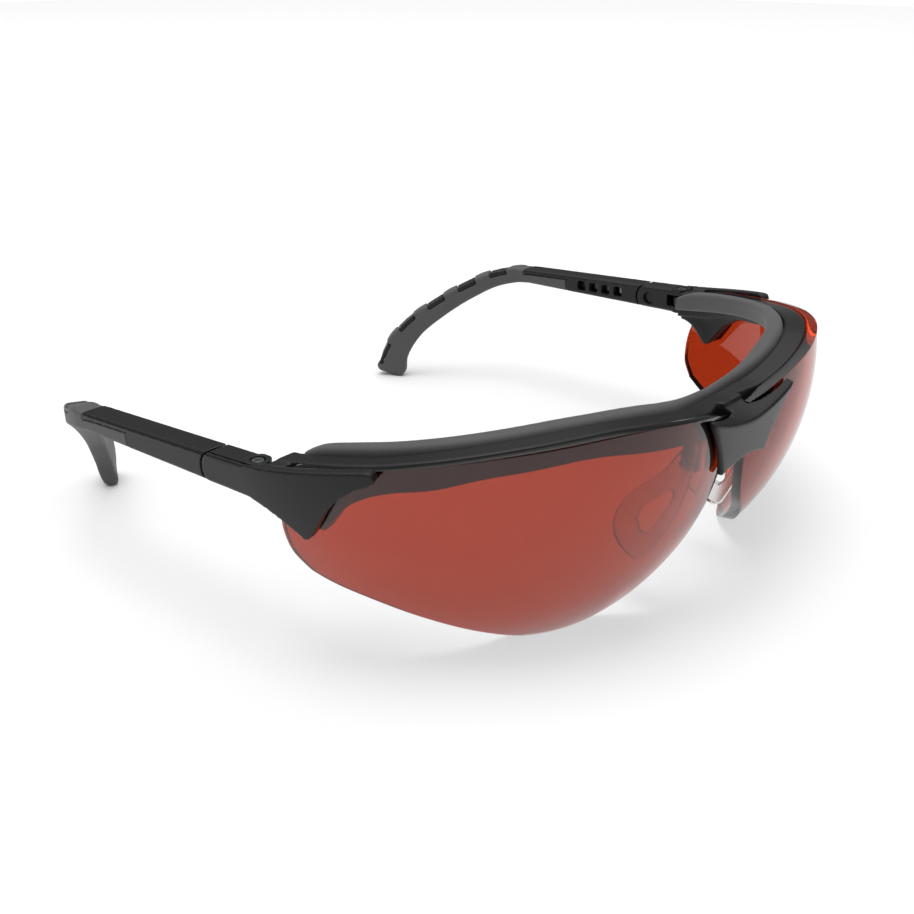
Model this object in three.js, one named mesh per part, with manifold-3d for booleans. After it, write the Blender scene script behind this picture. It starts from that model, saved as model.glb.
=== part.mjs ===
// Wrap-round safety spectacles: a black front with two filter lenses, and temples that fold, tilt and lengthen.
// Millimetres, +Z up. The front faces -Y, and the wearer's left is +X. The lens bottoms and ear tips stand on z = 0.
// Pieces are drawn for the +X side and mirrored for the other one.

import * as THREE from 'three';
import { mergeVertices } from 'three/addons/utils/BufferGeometryUtils.js';
import Module from 'manifold-3d';

const wasm = await Module();
wasm.setup();

const DEG = Math.PI / 180;
const GAP = 0.25;                    // clearance between neighbouring pieces

// ---- Driving dimensions ----

// Lens: a patch of an ellipsoid. Offsets from its front surface place everything that follows its curve.
const LENS_CENTRE = new THREE.Vector3(17.1, 0.9, 36.1);
const LENS_RADII = new THREE.Vector3(52.9, 55.7, 53.8);
const LENS_THICK = 2;
const WING_THICK = 2.35;
const SLOT = { front: GAP, back: -LENS_THICK - GAP };
const GUSSET_BACK = -4.9;
const BAR_BACK = -6.5;
const PAD_FRONT = BAR_BACK - 0.35;
const PAD_BACK = -10.2;
const MIDDLE_HALF = 12;              // the rear surfaces are rounded across the nose within this half width

// Hinge line and the temple's own axes: t runs back along the arm, w outwards and n up.
const TEMPLE_X = 69.8;               // centre of the arm's width
const TEMPLE_Z = 33.3;
const TEMPLE_DROP = 2.4;             // degrees that the arm falls towards the ear
const ARM_HALF_WIDTH = 2.8;
const PIN_W = -0.5;                  // hinge screw, a little inside the arm's centre
const EAR_RADIUS = 2.4;
const HINGE_HALF_HEIGHT = 3;
const KNUCKLE_HALF_HEIGHT = 1.15;
const SCREW_RADIUS = 0.7;
const SCREW_HEAD_RADIUS = 1.1;
const SCREW_HEAD_HEIGHT = 0.6;
const NUT_RADIUS = 1.35;
const SKIN_INNER = 2.1;              // the wing runs back over the hinge as a skin, to the tilt joint's seam
const BLOCK_OUTER = SKIN_INNER - 0.2;

// Tilt joint, rail and length adjustment
const TILT_T = 8.2;
const TILT_N = -0.25;
const TILT_RADIUS = 3.5;
const TILT_PIN_RADIUS = 1.45;
const TONGUE_HALF_WIDTH = 1.15;
const TONGUE_HALF_HEIGHT = 1.25;
const TONGUE_START = 4.6;
const RAIL_HALF_HEIGHT = 1.3;
const RAIL_START = 12.4;
const RAIL_END = 31;
const WINDOW_COUNT = 4;
const WINDOW_PITCH = 3.8;
const WINDOW_FIRST_T = 17.65;
const WINDOW_SIZE = 2.3;

// Arm and ear tip
const ARM_FRONT_HALF = 2.95;         // half height at the hinge
const ARM_REAR_HALF = 1.85;          // and where the rubber starts to curve
const RUBBER_START = 34;
const STRIP_END = 48.5;
const STRIP_THICK = 1.2;
const BEND_START = 47;
const EDGE_WINDOW_COUNT = 5;
const EDGE_WINDOW_START = 0.13;      // along the ear tip's path, from 0 to 1
const EDGE_WINDOW_PITCH = 0.165;
const EDGE_WINDOW_LENGTH = 0.087;
const LAND_DEPTH = 1;
const CORE_GAP = 0.15;

const SHELL_SEGMENTS = [64, 40];

// ---- Solids ----

function solid(geometry) {
    const plain = geometry.clone();
    plain.deleteAttribute('normal');
    plain.deleteAttribute('uv');
    const merged = mergeVertices(plain, 1e-5);
    const mesh = new wasm.Mesh({
        numProp: 3,
        vertProperties: new Float32Array(merged.attributes.position.array),
        triVerts: new Uint32Array(merged.index.array),
    });
    return new wasm.Manifold(mesh);
}

function geometryOf(body) {
    const mesh = body.getMesh();
    const geometry = new THREE.BufferGeometry();
    geometry.setAttribute('position', new THREE.BufferAttribute(mesh.vertProperties, 3));
    geometry.setIndex(new THREE.BufferAttribute(mesh.triVerts, 1));
    return geometry;
}

function mirrored(geometry) {
    const copy = geometry.clone();
    copy.scale(-1, 1, 1);
    const index = copy.index.array;
    for (let i = 0; i < index.length; i += 3) {
        [index[i], index[i + 1]] = [index[i + 1], index[i]];
    }
    return copy;
}

function box(x0, x1, y0, y1, z0, z1) {
    const geometry = new THREE.BoxGeometry(x1 - x0, y1 - y0, z1 - z0);
    geometry.translate((x0 + x1) / 2, (y0 + y1) / 2, (z0 + z1) / 2);
    return solid(geometry);
}

function rodZ(radius, x, y, z0, z1, sides = 24) {
    const geometry = new THREE.CylinderGeometry(radius, radius, z1 - z0, sides);
    geometry.rotateX(90 * DEG);
    geometry.translate(x, y, (z0 + z1) / 2);
    return solid(geometry);
}

function rodX(radius, y, z, x0, x1, sides = 24) {
    const geometry = new THREE.CylinderGeometry(radius, radius, x1 - x0, sides);
    geometry.rotateZ(90 * DEG);
    geometry.translate((x0 + x1) / 2, y, z);
    return solid(geometry);
}

// A closed body through rings of equal point counts, counter-clockwise seen from the first ring's outside.
function loft(rings) {
    const count = rings[0].length;
    const positions = rings.flat().flatMap((p) => [p.x, p.y, p.z]);
    const index = [];
    for (let r = 0; r < rings.length - 1; r++) {
        for (let i = 0; i < count; i++) {
            const a = r * count + i;
            const b = r * count + (i + 1) % count;
            index.push(a, a + count, b, b, a + count, b + count);
        }
    }
    const last = (rings.length - 1) * count;
    for (let i = 1; i < count - 1; i++) {
        index.push(0, i, i + 1);
        index.push(last, last + i + 1, last + i);
    }
    const geometry = new THREE.BufferGeometry();
    geometry.setAttribute('position', new THREE.Float32BufferAttribute(positions, 3));
    geometry.setIndex(index);
    return solid(geometry);
}

// ---- Bodies that follow the lens curve ----

function ellipsoid(offset) {
    const geometry = new THREE.SphereGeometry(1, ...SHELL_SEGMENTS);
    geometry.rotateX(90 * DEG);
    geometry.scale(LENS_RADII.x + offset, LENS_RADII.y + offset, LENS_RADII.z + offset);
    geometry.translate(LENS_CENTRE.x, LENS_CENTRE.y, LENS_CENTRE.z);
    return solid(geometry);
}

function shell(outer, inner) {
    return ellipsoid(outer).subtract(ellipsoid(inner));
}

// A smooth line through [bearing, height] points. Bearing is in degrees from straight ahead of the lens centre.
function smooth(points, steps = 3) {
    const curve = new THREE.CatmullRomCurve3(points.map(([a, b]) => new THREE.Vector3(a, b, 0)), false, 'centripetal');
    return curve.getPoints((points.length - 1) * steps).map((p) => [p.x, p.y]);
}

// Layers of a wedge, as parts of the lens radii, each shell lying between two of them.
const REACHES = [0.5, 0.8, 0.95, 1.0025, 1.06, 2];

// The space in front of the lens centre that an outline of [bearing, height] points covers.
function wedge(outline) {
    const flat = outline.map(([a, b]) => new THREE.Vector2(a, b));
    if (!THREE.ShapeUtils.isClockWise(flat)) flat.reverse();
    const faces = THREE.ShapeUtils.triangulateShape(flat, []);
    const count = flat.length;
    const positions = [];
    for (const reach of REACHES) {
        for (const { x: bearing, y: height } of flat) {
            const across = reach * LENS_RADII.x * Math.sin(bearing * DEG);
            const ahead = reach * LENS_RADII.y * Math.cos(bearing * DEG);
            positions.push(LENS_CENTRE.x + across, LENS_CENTRE.y - ahead, height);
        }
    }
    const index = [];
    const last = (REACHES.length - 1) * count;
    for (const [a, b, c] of faces) {
        index.push(a, c, b, a + last, b + last, c + last);
    }
    for (let start = 0; start < last; start += count) {
        for (let i = 0; i < count; i++) {
            const a = start + i;
            const b = start + (i + 1) % count;
            index.push(a, a + count, b, b, a + count, b + count);
        }
    }
    const geometry = new THREE.BufferGeometry();
    geometry.setAttribute('position', new THREE.Float32BufferAttribute(positions, 3));
    geometry.setIndex(index);
    return solid(geometry);
}

// A point at an offset from the lens surface. Past the lens centre towards the nose a bearing counts across
// to x = 0 at -18, and the surface is eased so that it meets its mirror image without a crease.
function shellPoint(bearing, height, offset) {
    const rx = LENS_RADII.x + offset;
    const ry = LENS_RADII.y + offset;
    const level = Math.sqrt(1 - ((height - LENS_CENTRE.z) / (LENS_RADII.z + offset)) ** 2);
    if (bearing >= 0) {
        const x = LENS_CENTRE.x + rx * level * Math.sin(bearing * DEG);
        const y = LENS_CENTRE.y - ry * level * Math.cos(bearing * DEG);
        return new THREE.Vector3(x, y, height);
    }
    const x = LENS_CENTRE.x * (1 + bearing / 18);
    const y = LENS_CENTRE.y - ry * Math.sqrt(level ** 2 - ((x - LENS_CENTRE.x) / rx) ** 2);
    const slope = ry * LENS_CENTRE.x / (rx ** 2 * Math.sqrt(1 - (LENS_CENTRE.x / rx) ** 2));
    const ease = Math.max(0, 1 - x / MIDDLE_HALF) ** 2;
    return new THREE.Vector3(x, y - slope * MIDDLE_HALF / 2 * ease, height);
}

// Height at a bearing on a line of [bearing, height] points.
function heightAt(line, bearing) {
    const i = Math.max(1, line.findIndex(([a]) => a >= bearing));
    const [a0, h0] = line[i - 1];
    const [a1, h1] = line[i];
    return THREE.MathUtils.mapLinear(bearing, a0, a1, h0, h1);
}

// A bar that follows the lens curve between two lines, from bearing to bearing.
function band(from, to, step, high, low, frontAt, backAt) {
    const highLine = smooth(high);
    const lowLine = smooth(low);
    const rings = [];
    const count = Math.round((to - from) / step);
    for (let i = 0; i <= count; i++) {
        const bearing = THREE.MathUtils.lerp(from, to, i / count);
        const top = heightAt(highLine, bearing);
        const bottom = heightAt(lowLine, bearing);
        const front = frontAt(bearing);
        const back = backAt(bearing);
        const round = Math.min(0.5, (top - bottom) * 0.25);
        const profile = [[front, bottom + round], [front, (top + bottom) / 2], [front, top - round],
            [front - round, top], [back + round, top], [back, top - round], [back, (top + bottom) / 2],
            [back, bottom + round], [back + round, bottom], [front - round, bottom]];
        rings.push(profile.map(([offset, height]) => shellPoint(bearing, height, offset)));
    }
    return loft(rings);
}

// Top edge shared by the lens and the bar behind it, from beside the nose out to the hinge.
const TOP_EDGE = [[-7, 40.3], [0.7, 41.7], [12, 43.2], [22, 43.8], [40, 42.7], [56.6, 40.5], [64.3, 39.3], [70.4, 38.5], [77.4, 37.6]];

function makeLens() {
    const top = smooth([[-14.6, 38.4], ...TOP_EDGE, [80.4, 37.1]]);
    const outer = smooth([[80.6, 33.6], [82.8, 30.4], [84.2, 27], [84.5, 23.5], [83.6, 19.4], [80.4, 16], [76, 14.3]]);
    const bottom = smooth([[76, 14.3], [68, 12], [58.7, 8.8], [45.2, 4.1], [34, 0.9], [25, 0], [17, 0.5],
        [10.3, 2.4], [3.9, 5.9], [-2.2, 10.3], [-7.8, 15.2], [-11.5, 20.8], [-13.5, 26.3]], 2);
    const nose = smooth([[-13.5, 26.3], [-14.7, 30], [-15, 35], [-14.6, 38.4]]);
    const outline = [...top, ...outer, ...bottom.slice(1), ...nose.slice(1, -1)];
    return shell(0, -LENS_THICK).intersect(wedge(outline));
}

function makeBar() {
    const high = [[-18, 39.8], [-12, 40], ...TOP_EDGE, [84, 36.7], [90, 36.2]];
    const low = [[-18, 35.2], [-10, 35.6], [-2.3, 36.8], [14, 38.8], [25.6, 39.9], [39.1, 38.8], [46.6, 37.8],
        [54.8, 35.9], [66, 34.4], [78, 32], [90, 30.4]];
    return band(-18, 88, 4, high, low, () => SLOT.back, () => BAR_BACK);
}

function makeGusset() {
    const high = [[56, 38], [90, 34]];
    const low = [[56, 36.4], [60.4, 35.2], [66.2, 33.6], [70.9, 31], [73.6, 28], [75.8, 25.6], [76.6, 25.5],
        [79.5, 27.5], [83, 29.4], [90, 30.4]];
    return band(57, 88, 1.5, high, low, () => SLOT.back, () => GUSSET_BACK);
}

function makeOuterWing() {
    const top = smooth([[64.4, 40], [66, 39.8], [70, 39.2], [76, 38.2], [84, 36.9], [90, 36.2]]);
    const lower = smooth([[90, 30.4], [86.2, 29.6], [80.5, 27.3], [77.4, 25.2]]);
    const front = smooth([[76.4, 25.3], [74.3, 28.9], [72.3, 32.1], [69.5, 34.8], [67.1, 36.5], [64.6, 37.6], [63.6, 38.8]]);
    return shell(SLOT.front + WING_THICK, SLOT.front).intersect(wedge([...top, ...lower, ...front]));
}

function makeBrowPad() {
    const high = [[-18, 40.6], [-8, 41.4], [0, 42.6], [12, 43.9], [22, 44.3], [30, 44.2], [41, 43.4], [52, 42.2],
        [63, 40.8], [73, 39.5], [80, 38.2], [84, 36.6], [88, 35]];
    const low = [[-18, 36.6], [-8, 37.2], [5, 38.6], [20, 39.9], [41, 39], [62, 36.6], [78, 34.2], [88, 33]];
    const back = (bearing) => PAD_BACK + 1.7 * THREE.MathUtils.smoothstep(8 - bearing, 0, 22);
    return band(-18, 84, 4, high, low, () => PAD_FRONT, back);
}

// ---- Bridge ----

const BRIDGE_HALF = 14.6;
const SPIKE_X = 8;
const SPIKE_Z = 27.9;

// Outline of the front plate at a distance from the middle: its lower edge and the dipping ridge along its top.
function bridgeLow(x) {
    if (x <= SPIKE_X) return SPIKE_Z + 1.6 * (1 - (x / SPIKE_X) ** 2);
    return SPIKE_Z + 12 * ((x - SPIKE_X) / (BRIDGE_HALF - SPIKE_X)) ** 0.83;
}

function bridgeRidge(x) {
    return 37.6 + 3 * (x / BRIDGE_HALF) ** 1.7;
}

// The fairing over the nose: a front plate, and a roof that slopes back from its ridge to the bar.
function makeBridge() {
    const right = [0, 1.5, 3, 4.4, 4.6, 6, 7, 8, 9.5, 11, 12.5, 13.8, BRIDGE_HALF];
    const columns = [...right.slice(1).reverse().map((x) => -x), ...right];
    const rings = columns.map((column) => {
        const x = Math.abs(column);
        const low = bridgeLow(x);
        const ridge = bridgeRidge(x);
        const lean = (z) => -56.4 + 0.14 * (37 - z) + 0.4 * (x / BRIDGE_HALF) ** 2;
        const back = x < 4.5 ? -49.6 : -53.4;
        const roof = x < 4.5 ? 39.9 : ridge + 0.5;
        const inner = x < 4.5 ? 35.2 : Math.min(low + 3, ridge - 0.6);
        const plate = [[lean(low) + 0.3, low], [lean(low), low + 0.4], [lean(ridge), ridge - 0.7],
            [lean(ridge) + 0.25, ridge - 0.2], [lean(ridge) + 0.8, ridge], [back, roof], [back, inner],
            [lean(low) + 1.9, Math.min(inner, low + 2)], [lean(low) + 1.7, low]];
        return plate.map(([y, z]) => new THREE.Vector3(column, y, z));
    });
    return loft(rings);
}

// The space for the lens and its clearance.
function lensSlot() {
    const outline = [[-15.6, 10], [90, 10], [90, 28], [84.6, 30.2], [81.3, 33.4], [81.3, 60], [-15.6, 60]];
    return shell(SLOT.front, SLOT.back).intersect(wedge(outline));
}

// ---- Hinge ends of the front ----

function templeFrame(body) {
    const geometry = geometryOf(body);
    geometry.rotateX(-TEMPLE_DROP * DEG);
    geometry.translate(TEMPLE_X, 0, TEMPLE_Z);
    return solid(geometry);
}

const TOP = HINGE_HALF_HEIGHT;
const MID = KNUCKLE_HALF_HEIGHT;
const W = ARM_HALF_WIDTH;

function makeHingeEnd() {
    const block = box(-W, W, -6.2, 0, -TOP, TOP);
    const skin = box(SKIN_INNER, W, -6.2, TILT_T, -TOP, TOP)
        .add(rodX(TILT_RADIUS, TILT_T, TILT_N, SKIN_INNER, W, 36))
        .intersect(straight(-8, 20, W, armHalf));
    const earSpace = rodZ(EAR_RADIUS + GAP, PIN_W, 0, MID, TOP + 1, 24)
        .add(rodZ(EAR_RADIUS + GAP, PIN_W, 0, -TOP - 1, -MID, 24))
        .add(box(-W - 1, PIN_W, -EAR_RADIUS - GAP, 5, MID, TOP + 1))
        .add(box(-W - 1, PIN_W, -EAR_RADIUS - GAP, 5, -TOP - 1, -MID));
    const knuckle = rodZ(EAR_RADIUS - 0.4, PIN_W, 0, -MID, MID, 24)
        .add(box(-W, PIN_W, -4, 0.9, -MID, MID));
    const bore = rodZ(SCREW_RADIUS + GAP, PIN_W, 0, -TOP, TOP);
    return block.subtract(earSpace).add(skin).add(knuckle).subtract(bore);
}

function makeFrontFrame() {
    const outside = ellipsoid(SLOT.front + WING_THICK).add(box(0, 100, LENS_CENTRE.y, 50, 0, 60));
    const side = makeBar()
        .add(makeGusset())
        .add(makeOuterWing())
        .subtract(templeFrame(box(-12, 8, -1, 20, -12, 12)))
        .subtract(templeFrame(rodZ(EAR_RADIUS + GAP, PIN_W, 0, MID, TOP + 4, 24)))
        .subtract(templeFrame(rodZ(EAR_RADIUS + GAP, PIN_W, 0, -TOP - 4, -MID, 24)))
        .subtract(templeFrame(box(-W - 8, PIN_W, -EAR_RADIUS - GAP, 5, -TOP - 6, TOP + 4)))
        .add(templeFrame(makeHingeEnd()).intersect(outside))
        .subtract(lensSlot());
    const half = geometryOf(side);
    const slot = geometryOf(lensSlot());
    return solid(half).add(solid(mirrored(half)))
        .add(makeBridge().subtract(solid(slot)).subtract(solid(mirrored(slot))));
}

// ---- Nose mount and pads ----

const NOSE_PIN = { y: -48.2, z: 30 };
const NOSE_ARM_X = 8.4;
const NOSE_PAD_X = 11;
const NOSE_PAD_THICK = 1.3;
const NOSE_PAD_SPLAY = 12;           // degrees that a pad leans outwards towards its bottom
const NOSE_PIN_RADIUS = 0.6;

function plate(points, holes, thick) {
    const shape = new THREE.Shape(points.map(([y, z]) => new THREE.Vector2(y, z)));
    shape.holes = holes.map((hole) => new THREE.Path(hole.map(([y, z]) => new THREE.Vector2(y, z))));
    const geometry = new THREE.ExtrudeGeometry(shape, { depth: thick, bevelEnabled: false });
    geometry.applyMatrix4(new THREE.Matrix4().set(0, 0, 1, -thick / 2, 1, 0, 0, 0, 0, 1, 0, 0, 0, 0, 0, 1));
    return geometry;
}

function makeNoseMount() {
    const yoke = box(-NOSE_ARM_X - 0.8, NOSE_ARM_X + 0.8, -49.4, -47.8, 33.2, 34.8);
    let mount = yoke.add(box(-1.6, 1.6, -49.4, -47.8, 26.4, 34.8));
    const hole = NOSE_PIN.z - (NOSE_PAD_X - NOSE_ARM_X) * Math.tan(NOSE_PAD_SPLAY * DEG);
    for (const side of [-1, 1]) {
        const x = side * NOSE_ARM_X;
        mount = mount
            .add(box(x - 0.8, x + 0.8, -49.6, -46.6, 27.8, 34.8))
            .subtract(rodX(NOSE_PIN_RADIUS + 0.35, NOSE_PIN.y, hole, x - 2, x + 2, 16));
    }
    return mount;
}

// The leaf's outline is drawn from the pin it swings on.
function makeNosePad() {
    const rear = smooth([[-1, 4.2], [1.4, 1.4], [3.4, -2.2], [7, -5.8], [9.8, -9.2], [11.4, -12.4], [11.8, -15], [11, -17.4],
        [9, -19.4], [6.2, -20.6], [4.8, -20.2]]);
    const front = smooth([[3.8, -18.8], [0.8, -12.6], [-1, -6], [-1.6, 0], [-1.8, 3.4]]);
    const window = smooth([[7.2, -13], [6.6, -10.6], [4, -7.8], [1.4, -5.6], [0.8, -6.2], [2, -9.8], [4.8, -15], [6.2, -15]], 3);
    const pin = new THREE.Path().absarc(0, 0, NOSE_PIN_RADIUS + 0.12, 0, Math.PI * 2).getPoints(16).slice(0, -1);
    return plate([...rear, ...front], [window, pin.map((p) => [p.x, p.y])], NOSE_PAD_THICK);
}

// ---- Temple ----

function armHalf(t) {
    return THREE.MathUtils.mapLinear(Math.min(t, BEND_START), 0, BEND_START, ARM_FRONT_HALF, ARM_REAR_HALF);
}

// A section across the arm, its corners rounded, at a point of the path.
function section(centre, along, halfWidth, halfHeight, rounding = 0.2) {
    const side = new THREE.Vector3(along.y, -along.x, 0).normalize();
    const up = new THREE.Vector3().crossVectors(side, along);
    const round = Math.min(halfWidth, halfHeight) * rounding;
    const corners = [[1, 1], [-1, 1], [-1, -1], [1, -1]];
    const ring = [];
    for (const [sx, sy] of corners) {
        const inner = [[sx * halfWidth, sy * (halfHeight - round)], [sx * (halfWidth - round), sy * halfHeight]];
        if (sx * sy < 0) inner.reverse();
        for (const [a, b] of inner) {
            ring.push(centre.clone().addScaledVector(side, a).addScaledVector(up, b));
        }
    }
    return ring;
}

function straight(t0, t1, halfWidth, halfHeightAt) {
    const along = new THREE.Vector3(0, 1, 0);
    return loft([t0, t1].map((t) => section(new THREE.Vector3(0, t, 0), along, halfWidth, halfHeightAt(t))));
}

function makeHingeBlock() {
    const end = rodX(TILT_RADIUS, TILT_T, TILT_N, -W, W, 36);
    const body = box(-W, W, 0, TILT_T, -TOP - 1, TOP + 1).add(end)
        .intersect(straight(-4, 20, W, armHalf));
    const ears = rodZ(EAR_RADIUS, PIN_W, 0, -TOP, TOP, 36).intersect(box(-W, W, -5, 5, -TOP, TOP));
    const skinSpace = box(BLOCK_OUTER, W + 1, -5, 20, -TOP - 1, TOP + 1);
    const knuckleSpace = rodZ(EAR_RADIUS + GAP, PIN_W, 0, -MID - GAP, MID + GAP, 24)
        .add(box(-W - 1, PIN_W, -5, 2.8, -MID - GAP, MID + GAP));
    const forkSpace = box(-TONGUE_HALF_WIDTH - GAP, TONGUE_HALF_WIDTH + GAP, TONGUE_START - 0.6, 20,
        TILT_N - 1.95, TILT_N + 1.95);
    const screwSpace = rodZ(SCREW_RADIUS + GAP, PIN_W, 0, -TOP - 1, TOP + 1)
        .add(rodZ(SCREW_HEAD_RADIUS + GAP, PIN_W, 0, TOP - SCREW_HEAD_HEIGHT - 0.35, TOP + 1))
        .add(rodZ(NUT_RADIUS + 0.1, PIN_W, 0, -TOP - 1, -MID));
    const pinSpace = rodX(TILT_PIN_RADIUS + 0.1, TILT_T, TILT_N, -W - 1, W);
    return body.add(ears).subtract(skinSpace).subtract(knuckleSpace)
        .subtract(forkSpace).subtract(screwSpace).subtract(pinSpace);
}

function makeHingeScrew() {
    const shaft = rodZ(SCREW_RADIUS, PIN_W, 0, -TOP + 0.2, TOP - 0.3);
    const head = rodZ(SCREW_HEAD_RADIUS, PIN_W, 0, TOP - SCREW_HEAD_HEIGHT - 0.15, TOP - 0.15, 24);
    let screw = shaft.add(head);
    for (const [across, along] of [[0.95, 0.16], [0.16, 0.95]]) {
        screw = screw.subtract(box(PIN_W - across, PIN_W + across, -along, along, TOP - 0.45, TOP));
    }
    return screw;
}

function makeHingeNut() {
    return rodZ(NUT_RADIUS, PIN_W, 0, -TOP + 0.1, -MID - GAP, 12)
        .subtract(rodZ(SCREW_RADIUS + 0.1, PIN_W, 0, -TOP - 1, 0));
}

function makeTiltPin() {
    return rodX(TILT_PIN_RADIUS, TILT_T, TILT_N, -W + 0.7, BLOCK_OUTER - 0.15);
}

function makeTiltRail() {
    const tongue = box(-TONGUE_HALF_WIDTH, TONGUE_HALF_WIDTH, TONGUE_START, RAIL_START + 1,
        TILT_N - TONGUE_HALF_HEIGHT, TILT_N + TONGUE_HALF_HEIGHT)
        .add(rodX(2.3, TILT_T, TILT_N, -TONGUE_HALF_WIDTH, TONGUE_HALF_WIDTH, 24)
            .intersect(box(-2, 2, 0, 20, TILT_N - 1.6, TILT_N + 1.6)));
    const rail = box(-TONGUE_HALF_WIDTH, TONGUE_HALF_WIDTH, RAIL_START, RAIL_END, -RAIL_HALF_HEIGHT, RAIL_HALF_HEIGHT);
    const leafPocket = box(-TONGUE_HALF_WIDTH - 1, -TONGUE_HALF_WIDTH + 0.95, 15, 29, -1.1, 1.1);
    const pin = rodX(TILT_PIN_RADIUS + 0.05, TILT_T, TILT_N, -3, 3);
    return tongue.add(rail).subtract(leafPocket).subtract(pin);
}

// A leaf that lies in the rail's pocket, bent out into a nub near its free end.
function makeClickSpring() {
    const line = [[15.3, -0.7], [16.7, -0.7], [17.3, -1.02], [18, -1.02], [18.6, -0.7], [28.6, -0.7]];
    const outer = line.map(([t, w]) => new THREE.Vector2(w - 0.25, t));
    const inner = line.map(([t, w]) => new THREE.Vector2(w, t)).reverse();
    const geometry = new THREE.ExtrudeGeometry(new THREE.Shape([...outer, ...inner]), { depth: 1.7, bevelEnabled: false });
    geometry.translate(0, 0, -0.85);
    return solid(geometry);
}

function tipCurve() {
    return new THREE.CatmullRomCurve3([
        new THREE.Vector3(0, BEND_START, 0),
        new THREE.Vector3(-0.3, 52.2, -0.5),
        new THREE.Vector3(-2.6, 59, -2.2),
        new THREE.Vector3(-7.2, 65.6, -5.8),
        new THREE.Vector3(-12.4, 72, -10.6),
        new THREE.Vector3(-17.2, 77.8, -16.2),
        new THREE.Vector3(-20.6, 81.3, -22.6),
        new THREE.Vector3(-21.6, 82.6, -28.6),
        new THREE.Vector3(-21.8, 83.6, -34),
    ]);
}

// Half height and half thickness of the ear tip along its path, from 0 at the bend to 1 past the floor.
function tipHalves(u) {
    return { height: ARM_REAR_HALF + 1.2 * u + 1.9 * u ** 4, thick: W - 1.1 * u };
}

// The ear tip's path from u0 to u1, drawn in by a margin on every side, or standing out where it is negative.
// With a depth, it is only that deep below its top.
function tipBody(u0, u1, steps, { sideIn, topIn, bottomIn, depth }) {
    const curve = tipCurve();
    const rings = [];
    for (let i = 0; i <= steps; i++) {
        const u = THREE.MathUtils.lerp(u0, u1, i / steps);
        const centre = curve.getPointAt(u);
        const along = curve.getTangentAt(u);
        const { height, thick } = tipHalves(u);
        const side = new THREE.Vector3(along.y, -along.x, 0).normalize();
        const up = new THREE.Vector3().crossVectors(side, along);
        const lowIn = depth ? 2 * height - topIn - depth : bottomIn;
        centre.addScaledVector(up, (lowIn - topIn) / 2);
        rings.push(section(centre, along, thick - sideIn, height - (topIn + lowIn) / 2));
    }
    return loft(rings);
}

// What runs back inside the rubber: the black strip along the arm's top, a blade, and the lands that show
// in the ear tip's edge windows. Grown by a clearance, it is the space that the rubber leaves.
function armCore(clear) {
    const start = RAIL_END + 0.6;
    const outside = straight(start, BEND_START + 0.1, W, armHalf)
        .add(tipBody(0, 0.3, 8, { sideIn: 0, topIn: 0, bottomIn: 0 }));
    const above = loft([start, BEND_START - 1, STRIP_END + clear].map((t) => {
        const low = armHalf(t) - STRIP_THICK - clear - Math.max(0, t - BEND_START + 1) * 0.1;
        return section(new THREE.Vector3(0, t, low + 5), new THREE.Vector3(0, 1, 0), 8, 5, 0.01);
    }));
    const strip = clear ? above : above.intersect(outside);
    let core = strip
        .add(straight(start, BEND_START + 0.1, 1.1 + clear, () => 1.2 + clear))
        .add(tipBody(0, 0.86 + clear * 0.02, 14, { sideIn: 1.7 - clear, topIn: 0.9 - clear, bottomIn: 0.9 - clear }));
    for (let i = 0; i < EDGE_WINDOW_COUNT; i++) {
        const from = EDGE_WINDOW_START + i * EDGE_WINDOW_PITCH - clear * 0.02;
        const to = from + EDGE_WINDOW_LENGTH + clear * 0.04;
        const margins = clear
            ? { sideIn: -1, topIn: -1, depth: 1.12 + LAND_DEPTH + clear }
            : { sideIn: 0.1, topIn: 0.12, depth: LAND_DEPTH };
        core = core.add(tipBody(from, to, 2, margins));
    }
    return core;
}

function makeTempleArm() {
    const channel = box(-TONGUE_HALF_WIDTH - GAP, TONGUE_HALF_WIDTH + GAP, TILT_T, RAIL_END + 0.6,
        -RAIL_HALF_HEIGHT - GAP, RAIL_HALF_HEIGHT + GAP);
    let arm = straight(TILT_T, RUBBER_START, W, armHalf)
        .subtract(rodX(TILT_RADIUS + 0.3, TILT_T, TILT_N, -W - 1, W + 1, 36))
        .subtract(box(-W - 1, W + 1, 0, TILT_T + 1.6, -5, 5))
        .subtract(channel);
    for (let i = 0; i < WINDOW_COUNT; i++) {
        const t = WINDOW_FIRST_T + i * WINDOW_PITCH;
        const half = WINDOW_SIZE / 2;
        arm = arm.subtract(box(-W - 1, -TONGUE_HALF_WIDTH, t - half, t + half, -half, half));
    }
    return arm.add(armCore(0));
}

function makeEarTip() {
    const floor = new THREE.BoxGeometry(80, 60, 40);
    floor.translate(-20, 80, -20 - TEMPLE_Z);
    floor.rotateX(TEMPLE_DROP * DEG);
    return straight(RUBBER_START + GAP, BEND_START + 0.1, W, armHalf)
        .add(tipBody(0, 1, 20, { sideIn: 0, topIn: 0, bottomIn: 0 }))
        .subtract(armCore(CORE_GAP))
        .subtract(solid(floor));
}

// ---- Assembly ----

const finish = (color, roughness, metalness = 0) => new THREE.MeshStandardMaterial({ color, roughness, metalness });
const BLACK = finish(0x1b1b1c, 0.42);
const SOFT_GREY = finish(0x3a3a3c, 0.75);
const FILTER = new THREE.MeshStandardMaterial({ color: 0xb03214, roughness: 0.08, transparent: true, opacity: 0.75 });
const CLEAR_SOFT = new THREE.MeshStandardMaterial({ color: 0xb9b9b9, roughness: 0.25, transparent: true, opacity: 0.45 });
const STEEL = finish(0x9aa09d, 0.3, 1);
const BRASS = finish(0xb08d4a, 0.35, 1);

const glasses = new THREE.Group();

function addPiece(parent, name, body, material, side = 1) {
    const geometry = body.isBufferGeometry ? body : geometryOf(body);
    const piece = new THREE.Mesh(side < 0 ? mirrored(geometry) : geometry, material);
    piece.name = name;
    parent.add(piece);
    return piece;
}

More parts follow.
